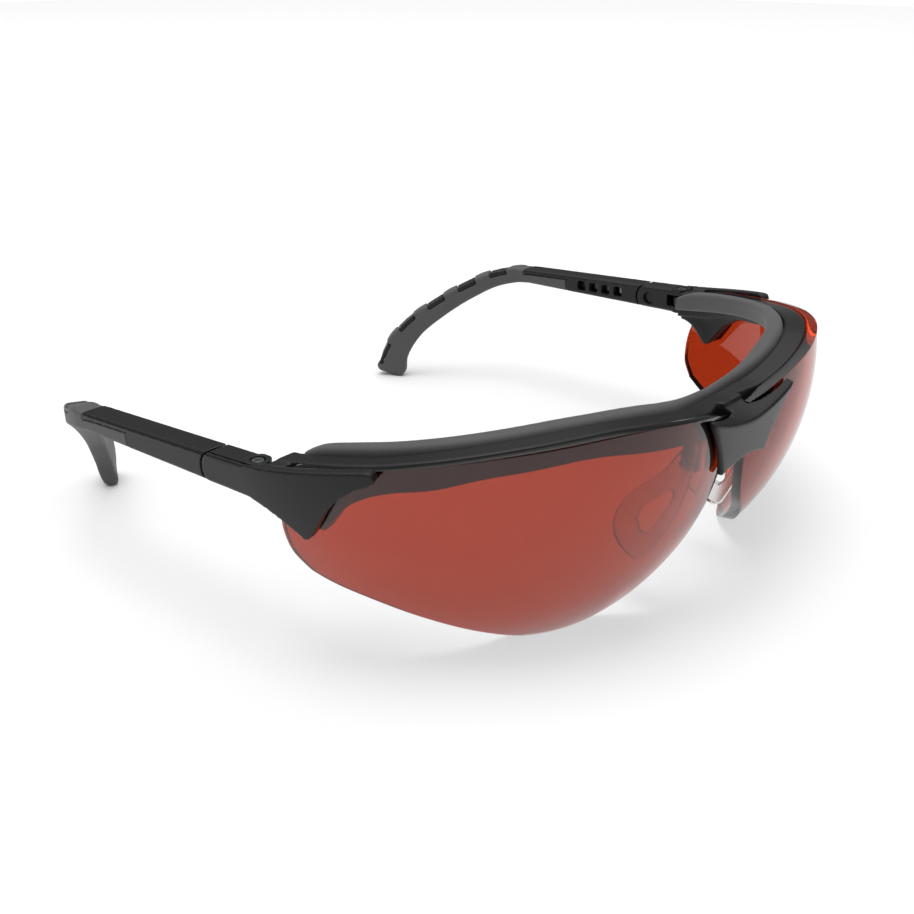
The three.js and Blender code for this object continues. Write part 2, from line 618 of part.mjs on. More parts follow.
addPiece(glasses, 'front_frame', makeFrontFrame(), BLACK);
const halfPad = geometryOf(makeBrowPad());
addPiece(glasses, 'brow_pad', solid(halfPad).add(solid(mirrored(halfPad))), SOFT_GREY);
addPiece(glasses, 'nose_mount', makeNoseMount(), BLACK);

const lens = makeLens();
const nosePad = mergeVertices(makeNosePad());
const temple = [
    ['hinge_block', makeHingeBlock(), BLACK],
    ['hinge_screw', makeHingeScrew(), STEEL],
    ['hinge_nut', makeHingeNut(), BRASS],
    ['tilt_pin', makeTiltPin(), BLACK],
    ['tilt_rail', makeTiltRail(), BLACK],
    ['click_spring', makeClickSpring(), STEEL],
    ['temple_arm', makeTempleArm(), BLACK],
    ['ear_tip', makeEarTip(), SOFT_GREY],
];

for (const [word, side] of [['left', 1], ['right', -1]]) {
    addPiece(glasses, `lens_${word}`, lens, FILTER, side);

    const padPlace = new THREE.Group();
    padPlace.position.set(side * NOSE_PAD_X, NOSE_PIN.y, NOSE_PIN.z);
    padPlace.rotation.y = -side * NOSE_PAD_SPLAY * DEG;
    addPiece(padPlace, `nose_pad_${word}`, nosePad, CLEAR_SOFT, side);
    glasses.add(padPlace);
    const reach = NOSE_PAD_X - NOSE_ARM_X;
    addPiece(padPlace, `nose_pad_pin_${word}`, rodX(NOSE_PIN_RADIUS, 0, 0, -reach - 0.7, 1.2, 16), STEEL, side);

    const place = new THREE.Group();
    place.position.set(side * TEMPLE_X, 0, TEMPLE_Z);
    place.rotation.x = -TEMPLE_DROP * DEG;
    for (const [name, body, material] of temple) {
        addPiece(place, `${name}_${word}`, body, material, side);
    }
    glasses.add(place);
}

const bounds = new THREE.Box3().setFromObject(glasses);
glasses.position.y = -(bounds.min.y + bounds.max.y) / 2;

export default glasses;
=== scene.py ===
"""Looks of the safety glasses: fine moulded surfaces, tinted lenses, soft rubber and a plain white studio.

Lengths are in millimetres in the part's own drawing axes: the hinge line is at y = 0. Pieces are drawn for
the wearer's left (+X) and mirrored. MM turns them into the frame's metres.
"""
from math import asin, cos, pi, radians, sin, sqrt

import bmesh
import bpy
import numpy as np
from mathutils import Matrix, Vector


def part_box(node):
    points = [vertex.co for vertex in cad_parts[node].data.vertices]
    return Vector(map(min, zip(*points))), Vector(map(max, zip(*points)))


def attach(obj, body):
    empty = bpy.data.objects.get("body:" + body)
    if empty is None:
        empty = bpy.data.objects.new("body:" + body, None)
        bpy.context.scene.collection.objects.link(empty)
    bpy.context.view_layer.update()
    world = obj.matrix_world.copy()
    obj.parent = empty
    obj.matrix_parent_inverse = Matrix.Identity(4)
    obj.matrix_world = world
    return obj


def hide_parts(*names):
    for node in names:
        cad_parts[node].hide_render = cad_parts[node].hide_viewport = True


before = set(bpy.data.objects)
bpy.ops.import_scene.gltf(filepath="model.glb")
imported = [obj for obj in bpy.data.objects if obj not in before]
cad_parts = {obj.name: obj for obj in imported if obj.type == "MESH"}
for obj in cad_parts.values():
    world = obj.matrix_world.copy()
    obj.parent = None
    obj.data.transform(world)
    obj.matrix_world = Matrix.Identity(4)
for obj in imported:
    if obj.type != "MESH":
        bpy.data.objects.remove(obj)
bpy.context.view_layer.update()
MM = 0.001

# ---- Driving dimensions ----

LENS_CENTRE = Vector((17.1, 0.9, 36.1))
LENS_RADII = Vector((52.9, 55.7, 53.8))
LENS_THICK = 2.0
SLOT_FRONT = 0.25
SLOT_BACK = -2.25
WING_THICK = 2.35
GUSSET_BACK = -4.9
BAR_BACK = -6.5
PAD_FRONT = -6.85
PAD_BACK = -10.2
MIDDLE_HALF = 12.0

TEMPLE_X = 69.8
TEMPLE_Z = 33.3
TEMPLE_DROP = radians(2.4)
ARM_HALF_WIDTH = 2.8
PIN_W = -0.5
PIN_HOLE = 0.95
EAR_SPACE = 2.65
HINGE_HALF = 3.0
HINGE_FRONT = -6.2
KNUCKLE_HALF = 1.15
KNUCKLE_RADIUS = 2
SKIN_INNER = 2.1
TILT_T = 8.2
TILT_N = -0.25
TILT_RADIUS = 3.5
ARM_FRONT_HALF = 2.95
ARM_REAR_HALF = 1.85
RUBBER_START = 34.25
STRIP_END = 48.65
STRIP_THICK = 1.35
LAND_DEPTH = 1.15
BEND_START = 47.0
WINDOW_START = 0.13
WINDOW_PITCH = 0.165
WINDOW_LENGTH = 0.087

BRIDGE_HALF = 14.6
SPIKE_X = 8.0
SPIKE_Z = 27.9
BRIDGE_FACE = -56.4
BRIDGE_LEAN = 0.14
BRIDGE_MIDDLE = 4.5
MIDDLE_BACK = -49.6
SIDE_BACK = -53.4
BAR_ROOF = 39.9
BAR_FLOOR = 35.2

# The frame's y of the hinge line, from the lens's foremost point.
HINGE_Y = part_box("lens_left")[0][1] / MM + LENS_RADII.y - LENS_CENTRE.y

VOXEL = 0.25


# ---- Mesh tools ----

def new_object(name, points, faces):
    mesh = bpy.data.meshes.new(name)
    mesh.from_pydata([tuple(p) for p in points], [], faces)
    mesh.update()
    made = bpy.data.objects.new(name, mesh)
    bpy.context.scene.collection.objects.link(made)
    return made


def outward(made):
    """Turn every face of a closed mesh outwards."""
    work = bmesh.new()
    work.from_mesh(made.data)
    bmesh.ops.recalc_face_normals(work, faces=work.faces)
    if work.calc_volume(signed=True) < 0:
        bmesh.ops.reverse_faces(work, faces=work.faces)
    work.to_mesh(made.data)
    work.free()
    return made


def settle(made):
    """Make an object's modifiers part of its mesh."""
    bpy.context.view_layer.update()
    graph = bpy.context.evaluated_depsgraph_get()
    mesh = bpy.data.meshes.new_from_object(made.evaluated_get(graph))
    made.modifiers.clear()
    made.data = mesh
    return made


def combine(made, other, operation):
    cut = made.modifiers.new("combine", "BOOLEAN")
    cut.operation = operation
    cut.solver = "MANIFOLD"
    cut.object = other
    settle(made)
    bpy.data.objects.remove(other)
    return made


def add(made, other):
    return combine(made, other, "UNION")


def cut(made, other):
    return combine(made, other, "DIFFERENCE")


def mirrored(made, name):
    copy = new_object(name, [], [])
    copy.data = made.data.copy()
    copy.data.transform(Matrix.Diagonal((-1, 1, 1, 1)))
    copy.data.flip_normals()
    return copy


def moulded(made, voxel, passes):
    """Give a mesh the small soft edges of a moulding."""
    remesh = made.modifiers.new("skin", "REMESH")
    remesh.mode = "VOXEL"
    remesh.voxel_size = voxel
    soften = made.modifiers.new("soften", "SMOOTH")
    soften.factor = 0.5
    soften.iterations = passes
    return made


def shade_smooth(made):
    for face in made.data.polygons:
        face.use_smooth = True


def placed(made):
    """From drawing millimetres to the frame's metres."""
    made.data.transform(Matrix.Scale(MM, 4) @ Matrix.Translation((0, HINGE_Y, 0)))
    shade_smooth(made)
    return made


def box(x0, x1, y0, y1, z0, z1):
    corners = [(x, y, z) for x in (x0, x1) for y in (y0, y1) for z in (z0, z1)]
    faces = [(0, 1, 3, 2), (4, 6, 7, 5), (0, 4, 5, 1), (2, 3, 7, 6), (0, 2, 6, 4), (1, 5, 7, 3)]
    return outward(new_object("box", corners, faces))


def rod_z(radius, x, y, z0, z1, sides=48):
    turns = [2 * pi * i / sides for i in range(sides)]
    points = [(x + radius * cos(a), y + radius * sin(a), z) for z in (z0, z1) for a in turns]
    faces = [(i, (i + 1) % sides, sides + (i + 1) % sides, sides + i) for i in range(sides)]
    faces += [tuple(range(sides))[::-1], tuple(range(sides, 2 * sides))]
    return outward(new_object("rod", points, faces))


def loft(name, rings):
    count = len(rings[0])
    points = [p for ring in rings for p in ring]
    faces = []
    for r in range(len(rings) - 1):
        for i in range(count):
            a = r * count + i
            b = r * count + (i + 1) % count
            faces.append((a, b, b + count, a + count))
    faces.append(tuple(range(count)))
    faces.append(tuple(range(len(points) - count, len(points))))
    return outward(new_object(name, points, faces))


def in_temple_frame(made):
    place = Matrix.Translation((TEMPLE_X, 0, TEMPLE_Z)) @ Matrix.Rotation(-TEMPLE_DROP, 4, "X")
    made.data.transform(place)
    return made


# ---- Curves and the lens surface ----

def smooth(points, count, steps=None):
    """A smooth line through points in a plane or in space, as an array of count evenly spaced points."""
    p = np.array(points, float)
    gaps = np.linalg.norm(np.diff(p, axis=0), axis=1)
    knots = np.r_[0, np.cumsum(np.sqrt(gaps))]
    tangents = np.gradient(p, knots, axis=0)
    t = np.linspace(0, knots[-1], steps or 40 * len(p))
    i = np.clip(np.searchsorted(knots, t, side="right") - 1, 0, len(p) - 2)
    h = (knots[i + 1] - knots[i])[:, None]
    s = ((t - knots[i])[:, None]) / h
    line = ((2 * s**3 - 3 * s**2 + 1) * p[i] + (s**3 - 2 * s**2 + s) * h * tangents[i]
            + (3 * s**2 - 2 * s**3) * p[i + 1] + (s**3 - s**2) * h * tangents[i + 1])
    along = np.r_[0, np.cumsum(np.linalg.norm(np.diff(line, axis=0), axis=1))]
    even = np.linspace(0, along[-1], count)
    return np.stack([np.interp(even, along, axis) for axis in line.T], axis=1)


def shell_point(bearing, height, offset):
    """A point at an offset from the lens surface. Towards the nose a bearing runs to -18 at x = 0."""
    rx = LENS_RADII.x + offset
    ry = LENS_RADII.y + offset
    level = sqrt(1 - ((height - LENS_CENTRE.z) / (LENS_RADII.z + offset)) ** 2)
    if bearing >= 0:
        x = LENS_CENTRE.x + rx * level * sin(radians(bearing))
        y = LENS_CENTRE.y - ry * level * cos(radians(bearing))
        return Vector((x, y, height))
    x = LENS_CENTRE.x * (1 + bearing / 18)
    y = LENS_CENTRE.y - ry * sqrt(level**2 - ((x - LENS_CENTRE.x) / rx) ** 2)
    slope = ry * LENS_CENTRE.x / (rx**2 * sqrt(1 - (LENS_CENTRE.x / rx) ** 2))
    ease = max(0, 1 - x / MIDDLE_HALF) ** 2
    return Vector((x, y - slope * MIDDLE_HALF / 2 * ease, height))


def lens_point(bearing, height, offset):
    """A point at an offset from the lens's own ellipsoid, with no easing at the nose."""
    level = sqrt(1 - ((height - LENS_CENTRE.z) / (LENS_RADII.z + offset)) ** 2)
    x = LENS_CENTRE.x + (LENS_RADII.x + offset) * level * sin(radians(bearing))
    y = LENS_CENTRE.y - (LENS_RADII.y + offset) * level * cos(radians(bearing))
    return Vector((x, y, height))


def patch(name, top, right, bottom, left, across, up, outer, inner):
    """A curved plate on the lens surface. Top and bottom run outwards, left and right run upwards."""
    top_line, low_line = smooth(top, across + 1), smooth(bottom, across + 1)
    right_line, left_line = smooth(right, up + 1), smooth(left, up + 1)
    u = np.linspace(0, 1, across + 1)[None, :, None]
    v = np.linspace(0, 1, up + 1)[:, None, None]
    grid = (1 - v) * low_line[None] + v * top_line[None]
    grid = grid + (1 - u) * left_line[:, None] + u * right_line[:, None]
    grid -= (1 - v) * ((1 - u) * low_line[0] + u * low_line[-1])
    grid -= v * ((1 - u) * top_line[0] + u * top_line[-1])
    rows = across + 1
    layer = rows * (up + 1)
    points = [lens_point(*grid[j, i], offset) for offset in (outer, inner)
              for j in range(up + 1) for i in range(rows)]
    faces = []
    for j in range(up):
        for i in range(across):
            a = j * rows + i
            quad = (a, a + 1, a + 1 + rows, a + rows)
            faces.append(quad)
            faces.append(tuple(layer + k for k in reversed(quad)))
    rim = list(range(across)) + [across + j * rows for j in range(up)]
    rim += [up * rows + i for i in range(across, 0, -1)] + [j * rows for j in range(up, 0, -1)]
    for k, a in enumerate(rim):
        c = rim[(k + 1) % len(rim)]
        faces.append((a, a + layer, c + layer, c))
    return outward(new_object(name, points, faces))


def band(name, start, end, step, high, low, front_at, back_at, roundness=0.5):
    """A bar that follows the lens curve between two height lines."""
    high_line, low_line = smooth(high, 400), smooth(low, 400)
    rings = []
    for bearing in np.linspace(start, end, round((end - start) / step) + 1):
        top = np.interp(bearing, *high_line.T)
        bottom = np.interp(bearing, *low_line.T)
        front, back = front_at(bearing), back_at(bearing)
        r = min(roundness, (top - bottom) * 0.25)
        arc = [(r * (1 - cos(a)), r * (1 - sin(a))) for a in np.linspace(0, pi / 2, 4)]
        profile = [(front, (top + bottom) / 2)]
        profile += [(front - x, top - z) for x, z in arc]
        profile += [(back + x, top - z) for x, z in reversed(arc)]
        profile += [(back, (top + bottom) / 2)]
        profile += [(back + x, bottom + z) for x, z in arc]
        profile += [(front - x, bottom + z) for x, z in reversed(arc)]
        rings.append([shell_point(bearing, z, offset) for offset, z in profile])
    return loft(name, rings)


# ---- The front ----

TOP_EDGE = [(-7, 40.3), (0.7, 41.7), (12, 43.2), (22, 43.8), (40, 42.7), (56.6, 40.5), (64.3, 39.3),
            (70.4, 38.5), (77.4, 37.6)]


def make_lens():
    top = [(-14.6, 38.4), *TOP_EDGE, (80.4, 37.1)]
    outer = [(80.4, 16), (83.6, 19.4), (84.5, 23.5), (84.2, 27), (82.8, 30.4), (80.6, 33.6),
             (80.4, 37.1)]
    bottom = [(-13.5, 26.3), (-11.5, 20.8), (-7.8, 15.2), (-2.2, 10.3), (3.9, 5.9), (10.3, 2.4),
              (17, 0.5), (25, 0.02), (34, 0.9), (45.2, 4.1), (58.7, 8.8), (68, 12), (76, 14.3), (80.4, 16)]
    nose = [(-13.5, 26.3), (-14.7, 30), (-15, 35), (-14.6, 38.4)]
    lens = patch("lens", top, outer, bottom, nose, 120, 60, 0, -LENS_THICK)
    edge = lens.modifiers.new("ground edge", "BEVEL")
    edge.width = 0.3
    edge.segments = 3
    edge.angle_limit = radians(50)
    return settle(lens)


def make_bar():
    high = [(-18, 39.8), (-12, 40), *TOP_EDGE, (84, 36.7), (90, 36.2)]
    low = [(-18, 35.2), (-10, 35.6), (-2.3, 36.8), (14, 38.8), (25.6, 39.9), (39.1, 38.8), (46.6, 37.8),
           (54.8, 35.9), (66, 34.4), (78, 32), (90, 30.4)]
    return band("bar", -18, 88, 1, high, low, lambda b: SLOT_BACK, lambda b: BAR_BACK, 0.3)


def make_gusset():
    high = [(56, 38), (90, 34)]
    low = [(56, 36.4), (60.4, 35.2), (66.2, 33.6), (70.9, 31), (73.6, 28), (75.8, 25.6), (76.6, 25.5),
           (79.5, 27.5), (83, 29.4), (90, 30.4)]
    return band("gusset", 57, 88, 0.4, high, low, lambda b: SLOT_BACK, lambda b: GUSSET_BACK, 0.4)


def make_outer_wing():
    top = [(63.8, 39.2), (64.4, 39.9), (66, 39.8), (70, 39.2), (76, 38.2), (84, 36.9), (90, 36.2)]
    bottom = [(76.4, 25.5), (77.2, 25.15), (78.6, 26), (80.5, 27.2), (83.2, 28.6), (86.2, 29.7),
              (90, 30.4)]
    front = [(76.4, 25.5), (74.3, 28.9), (72.3, 32.1), (69.5, 34.8), (67.1, 36.5), (64.6, 37.6),
             (63.7, 38.4), (63.8, 39.2)]
    end = [(90, 30.4), (90, 36.2)]
    return patch("wing", top, end, bottom, front, 60, 30, SLOT_FRONT + WING_THICK, SLOT_FRONT)


def make_slot():
    bottom = [(-15.6, 24), (20, 24), (60, 24), (82, 24)]
    top = [(-15.6, 50), (20, 50), (60, 50), (81.3, 50)]
    outer = [(82, 24), (82, 31), (81.3, 33.4), (81.3, 50)]
    nose = [(-15.6, 24), (-15.6, 50)]
    slot = patch("slot", top, outer, bottom, nose, 120, 30, SLOT_FRONT, SLOT_BACK)
    lower = patch("slot", [(70, 28), (84.6, 30.2)], [(90, 10), (84.6, 30.2)], [(70, 10), (90, 10)],
                  [(70, 10), (70, 28)], 30, 20, SLOT_FRONT, SLOT_BACK)
    return add(slot, lower)


def make_skin():
    """The wing's tail over the hinge. It ends in a round seam about the tilt joint."""
    sides = 96
    turns = [2 * pi * i / sides for i in range(sides)]
    rings = [[(w, TILT_T + TILT_RADIUS * cos(a), TILT_N + TILT_RADIUS * sin(a)) for a in turns]
             for w in (SKIN_INNER, ARM_HALF_WIDTH + 1)]
    tail = add(loft("tail", rings), box(SKIN_INNER, ARM_HALF_WIDTH + 1, HINGE_FRONT, TILT_T, -4, 4))
    ahead = (0, 1, 0)
    outline = loft("outline", [section((0, t, 0), ahead, ARM_HALF_WIDTH, arm_half(t), 0.6)
                               for t in (-8, 0, 20)])
    return combine(tail, outline, "INTERSECT")


def make_hinge_end():
    w, top, mid = ARM_HALF_WIDTH, HINGE_HALF, KNUCKLE_HALF
    block = box(-w, w, HINGE_FRONT, 0, -top, top)
    for low, high in ((mid, top + 1), (-top - 1, -mid)):
        cut(block, rod_z(EAR_SPACE, PIN_W, 0, low, high))
        cut(block, box(-w - 1, PIN_W, -EAR_SPACE, 5, low, high))
    add(block, make_skin())
    add(block, rod_z(KNUCKLE_RADIUS, PIN_W, 0, -mid, mid))
    add(block, box(-w, PIN_W, -4, 0.9, -mid, mid))
    return cut(block, rod_z(PIN_HOLE, PIN_W, 0, -top, top, 24))


def make_outside():
    """Everything within the wing's outer face, and everything behind the hinge line."""
    ball = new_object("ball", [], [])
    work = bmesh.new()
    bmesh.ops.create_uvsphere(work, u_segments=256, v_segments=128, radius=1)
    work.to_mesh(ball.data)
    work.free()
    grown = LENS_RADII + Vector((1, 1, 1)) * (SLOT_FRONT + WING_THICK)
    ball.data.transform(Matrix.Translation(LENS_CENTRE) @ Matrix.Diagonal((*grown, 1)))
    rings = []
    for y, grow in ((LENS_CENTRE.y - 0.05, 0), (14, 1)):
        ring = [(0, y, 60), (0, y, 15)]
        for z in np.linspace(15, 60, 46):
            bulge = LENS_CENTRE.x + grown.x * sqrt(1 - ((z - LENS_CENTRE.z) / grown.z) ** 2)
            ring.append((bulge + grow * (TEMPLE_X + ARM_HALF_WIDTH - bulge), y, z))
        rings.append(ring)
    return add(ball, loft("behind", rings))


def make_front_side():
    w, top, mid = ARM_HALF_WIDTH, HINGE_HALF, KNUCKLE_HALF
    side = add(add(make_bar(), make_gusset()), make_outer_wing())
    cut(side, in_temple_frame(box(-12, 8, -1, 20, -12, 12)))
    cut(side, in_temple_frame(rod_z(EAR_SPACE, PIN_W, 0, mid, top + 4)))
    cut(side, in_temple_frame(rod_z(EAR_SPACE, PIN_W, 0, -top - 4, -mid)))
    cut(side, in_temple_frame(box(-w - 8, PIN_W, -EAR_SPACE, 5, -top - 6, top + 4)))
    add(side, combine(in_temple_frame(make_hinge_end()), make_outside(), "INTERSECT"))
    return cut(side, make_slot())


def bridge_low(x):
    if x <= SPIKE_X:
        return SPIKE_Z + 1.6 * (1 - (x / SPIKE_X) ** 2)
    return SPIKE_Z + 12 * ((x - SPIKE_X) / (BRIDGE_HALF - SPIKE_X)) ** 0.83


def bridge_ridge(x):
    return 37.6 + 3 * (x / BRIDGE_HALF) ** 1.7


def make_bridge():
    """The fairing over the nose: a front plate and a roof that slopes back from its ridge to the bar."""
    half = [*np.linspace(0, 4.4, 12), *np.linspace(4.6, BRIDGE_HALF, 30)]
    columns = [-x for x in reversed(half[1:])] + half
    rings = []
    for column in columns:
        x = abs(column)
        low, ridge = bridge_low(x), bridge_ridge(x)
        inside = x < BRIDGE_MIDDLE
        back = MIDDLE_BACK if inside else SIDE_BACK
        roof = BAR_ROOF if inside else ridge + 0.5
        inner = BAR_FLOOR if inside else min(low + 3, ridge - 0.6)

        def lean(z):
            return BRIDGE_FACE + BRIDGE_LEAN * (37 - z) + 0.4 * (x / BRIDGE_HALF) ** 2

        middle = (low + ridge) / 2
        foot, brow = lean(low), lean(ridge)
        profile = [(foot + 0.3, low), (foot, low + 0.4), (lean(middle), middle), (brow, ridge - 0.7),
                   (brow + 0.25, ridge - 0.2), (brow + 0.8, ridge),
                   ((back + brow) / 2, ridge + (roof - ridge) * 0.4), (back, roof), (back, inner),
                   (foot + 1.9, min(inner, low + 2)), (foot + 1.7, low)]
        rings.append([Vector((column, y, z)) for y, z in profile])
    return loft("bridge", rings)


def make_front_frame():
    side = make_front_side()
    other = mirrored(side, "other side")
    bridge = cut(make_bridge(), make_slot())
    slot = make_slot()
    other_slot = mirrored(slot, "other slot")
    bpy.data.objects.remove(slot)
    cut(bridge, other_slot)
    frame_mesh = add(add(side, other), bridge)
    frame_mesh.name = "front_moulding"
    return settle(moulded(frame_mesh, VOXEL, 3))


def make_brow_pad():
    high = [(-18, 40.6), (-8, 41.4), (0, 42.6), (12, 43.9), (22, 44.3), (30, 44.2), (41, 43.4),
            (52, 42.2), (63, 40.8), (73, 39.5), (80, 38.2), (84, 36.6), (88, 35)]
    low = [(-18, 36.6), (-8, 37.2), (5, 38.6), (20, 39.9), (41, 39), (62, 36.6), (78, 34.2), (88, 33)]

    def back(bearing):
        s = min(1, max(0, (8 - bearing) / 22))
        return PAD_BACK + 1.7 * s * s * (3 - 2 * s)

    half = band("pad half", -18, 84, 1, high, low, lambda b: PAD_FRONT, back, 1.1)
    pad = add(half, mirrored(half, "other half"))
    pad.name = "brow_cushion"
    return settle(moulded(pad, VOXEL, 4))


# ---- Temples ----

def arm_half(t):
    s = min(t, BEND_START) / BEND_START
    return ARM_FRONT_HALF + (ARM_REAR_HALF - ARM_FRONT_HALF) * s


TIP_THROUGH = [(0, BEND_START, 0), (-0.3, 52.2, -0.5), (-2.6, 59, -2.2), (-7.2, 65.6, -5.8),
               (-12.4, 72, -10.6), (-17.2, 77.8, -16.2), (-20.6, 81.3, -22.6), (-21.6, 82.6, -28.6),
               (-21.8, 83.6, -34)]
TIP_STEPS = 200
TIP_END = 0.925
END_ROUND = 0.045
SWELL = 0.35
TIP = smooth(TIP_THROUGH, TIP_STEPS + 1, 800)
TIP_ALONG = np.gradient(TIP, axis=0)


def section(centre, along, half_width, half_height, r):
    """A rounded section across the arm."""
    along = Vector(along).normalized()
    side = Vector((along.y, -along.x, 0)).normalized()
    up = side.cross(along)
    ring = []
    for sx, sy, start in ((1, 1, 0), (-1, 1, 1), (-1, -1, 2), (1, -1, 3)):
        for k in range(5):
            a = (start + k / 4) * pi / 2
            x = sx * (half_width - r) + r * cos(a)
            y = sy * (half_height - r) + r * sin(a)
            ring.append(Vector(centre) + side * x + up * y)
    return ring


def tip_halves(u):
    return ARM_REAR_HALF + 1.2 * u + 1.9 * u**4, ARM_HALF_WIDTH - 1.1 * u


def tip_ring(u, half_height, half_width, rise, r):
    i = min(TIP_STEPS, u * TIP_STEPS)
    low = int(i)
    high = min(low + 1, TIP_STEPS)
    centre = Vector(TIP[low]).lerp(Vector(TIP[high]), i - low)
    along = Vector(TIP_ALONG[low]).lerp(Vector(TIP_ALONG[high]), i - low).normalized()
    side = Vector((along.y, -along.x, 0)).normalized()
    return section(centre + side.cross(along) * rise, along, half_width, half_height, r)


def make_paddle():
    """The bent tip. Its upper edge swells between the windows, and its end is rounded off."""
    rings = []
    for u in np.linspace(0, TIP_END, 150):
        height, thick = tip_halves(u)
        wave = (u - WINDOW_START - WINDOW_LENGTH / 2) / WINDOW_PITCH
        swell = SWELL * sin(pi * wave) ** 2 if u > 0.06 else 0
        left = (TIP_END - u) / END_ROUND
        close = sqrt(1 - (1 - left) ** 2) if left < 1 else 1
        half = (height + swell / 2) * (0.45 + 0.55 * close)
        wide = thick * (0.3 + 0.7 * close)
        rings.append(tip_ring(u, half, wide, swell / 2, min(half, wide) * 0.42))
    return loft("paddle", rings)


def make_window_cutter(index):
    rings = []
    start = WINDOW_START + index * WINDOW_PITCH - 0.003
    for u in np.linspace(start, start + WINDOW_LENGTH + 0.006, 8):
        height = tip_halves(u)[0]
        half = (LAND_DEPTH + 1.12) / 2
        rings.append(tip_ring(u, half, 4, height + 1 - half, 0.1))
    return loft("window", rings)


def make_ear_tip():
    """The rubber: a straight sleeve, then the bent paddle, with windows over the lands of the arm's blade."""
    ahead = (0, 1, 0)
    sleeve = loft("sleeve", [section((0, t, 0), ahead, ARM_HALF_WIDTH, arm_half(t), 0.7)
                             for t in np.linspace(RUBBER_START, BEND_START + 0.1, 14)])
    tip = add(sleeve, make_paddle())
    strip = []
    for t in (RUBBER_START - 3, BEND_START - 1, STRIP_END):
        low = arm_half(t) - STRIP_THICK - max(0, t - BEND_START + 1) * 0.1
        strip.append(section((0, t, low + 5), ahead, 8, 5, 0.05))
    cut(tip, loft("strip", strip))
    for index in range(5):
        cut(tip, make_window_cutter(index))
    floor = box(-60, 20, 50, 110, -60, 0)
    floor.data.transform(Matrix.Rotation(TEMPLE_DROP, 4, "X") @ Matrix.Translation((0, 0, -TEMPLE_Z)))
    cut(tip, floor)
    tip.name = "ear_rubber"
    return settle(moulded(in_temple_frame(tip), 0.2, 3))


# ---- Materials ----

def material(name, color, roughness, grain=0.0, grain_size=0.4, sheen=0.0, shade=0.0):
    """A moulded surface: a base colour that varies a little, and a fine grain in its gloss and its relief."""
    made = bpy.data.materials.new(name)
    made.use_nodes = True
    nodes, links = made.node_tree.nodes, made.node_tree.links
    shader = nodes["Principled BSDF"]
    shader.inputs["Roughness"].default_value = roughness
    shader.inputs["Sheen Weight"].default_value = sheen
    place = nodes.new("ShaderNodeTexCoord")
    cloud = nodes.new("ShaderNodeTexNoise")
    cloud.inputs["Scale"].default_value = 90
    cloud.inputs["Detail"].default_value = 4
    links.new(place.outputs["Object"], cloud.inputs["Vector"])
    tone = nodes.new("ShaderNodeMix")
    tone.data_type = "RGBA"
    tone.inputs["A"].default_value = (*[c * (1 - shade) for c in color], 1)
    tone.inputs["B"].default_value = (*[c * (1 + shade) for c in color], 1)
    links.new(cloud.outputs["Fac"], tone.inputs["Factor"])
    links.new(tone.outputs["Result"], shader.inputs["Base Color"])
    fine = nodes.new("ShaderNodeTexNoise")
    fine.inputs["Scale"].default_value = 1 / (grain_size * MM)
    fine.inputs["Detail"].default_value = 3
    links.new(place.outputs["Object"], fine.inputs["Vector"])
    gloss = nodes.new("ShaderNodeMapRange")
    gloss.inputs["To Min"].default_value = max(0, roughness - 0.06)
    gloss.inputs["To Max"].default_value = min(1, roughness + 0.06)
    links.new(fine.outputs["Fac"], gloss.inputs["Value"])
    links.new(gloss.outputs["Result"], shader.inputs["Roughness"])
    relief = nodes.new("ShaderNodeBump")
    relief.inputs["Strength"].default_value = grain
    relief.inputs["Distance"].default_value = 0.05 * MM
    links.new(fine.outputs["Fac"], relief.inputs["Height"])
    links.new(relief.outputs["Normal"], shader.inputs["Normal"])
    return made


def metal(name, color, roughness):
    made = material(name, color, roughness, grain=0.15, grain_size=0.15, shade=0.1)
    made.node_tree.nodes["Principled BSDF"].inputs["Metallic"].default_value = 1.0
    return made


def clear(name, color, roughness, ior):
    """A see-through plastic whose tint is in its base colour."""
    made = material(name, color, roughness, grain=0.0, grain_size=2.0, shade=0.02)
    shader = made.node_tree.nodes["Principled BSDF"]
    shader.inputs["Transmission Weight"].default_value = 1.0
    shader.inputs["IOR"].default_value = ior
    gloss = next(n for n in made.node_tree.nodes if n.type == "MAP_RANGE")
    gloss.inputs["To Min"].default_value = roughness
    gloss.inputs["To Max"].default_value = roughness + 0.02
    return made


BLACK = material("black moulded plastic", (0.008, 0.008, 0.0082), 0.36, 0.22, 0.35, shade=0.1)
RUBBER = material("soft grey rubber", (0.07, 0.07, 0.071), 0.62, 0.7, 0.2, sheen=0.1, shade=0.1)
FOAM = material("soft pad", (0.07, 0.07, 0.071), 0.66, 0.8, 0.25, sheen=0.12, shade=0.12)
FILTER = clear("orange filter lens", (0.33, 0.024, 0.002), 0.01, 1.55)
CLEAR_SOFT = clear("clear soft plastic", (0.8, 0.8, 0.8), 0.18, 1.42)
STEEL = metal("plain steel", (0.2, 0.22, 0.21), 0.32)
BRASS = metal("plain brass", (0.4, 0.28, 0.1), 0.35)
BLACK.node_tree.nodes["Principled BSDF"].inputs["Specular IOR Level"].default_value = 0.3


def dress(made, look):
    made.data.materials.clear()
    made.data.materials.append(look)


# ---- Pieces ----

def finish_piece(made, body, slot, look, *nodes):
    dress(placed(made), look)
    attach(made, body)
    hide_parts(*nodes)


finish_piece(make_front_frame(), "front", "black", BLACK, "front_frame")
brow_cushion = make_brow_pad()
finish_piece(brow_cushion, "front", "soft_grey", FOAM, "brow_pad")

lens = make_lens()
lens_right = mirrored(lens, "filter_right")
lens.name = "filter_left"
finish_piece(lens, "front", "filter", FILTER, "lens_left")
finish_piece(lens_right, "front", "filter", FILTER, "lens_right")
for glass in (lens, lens_right):
    glass.visible_diffuse = False

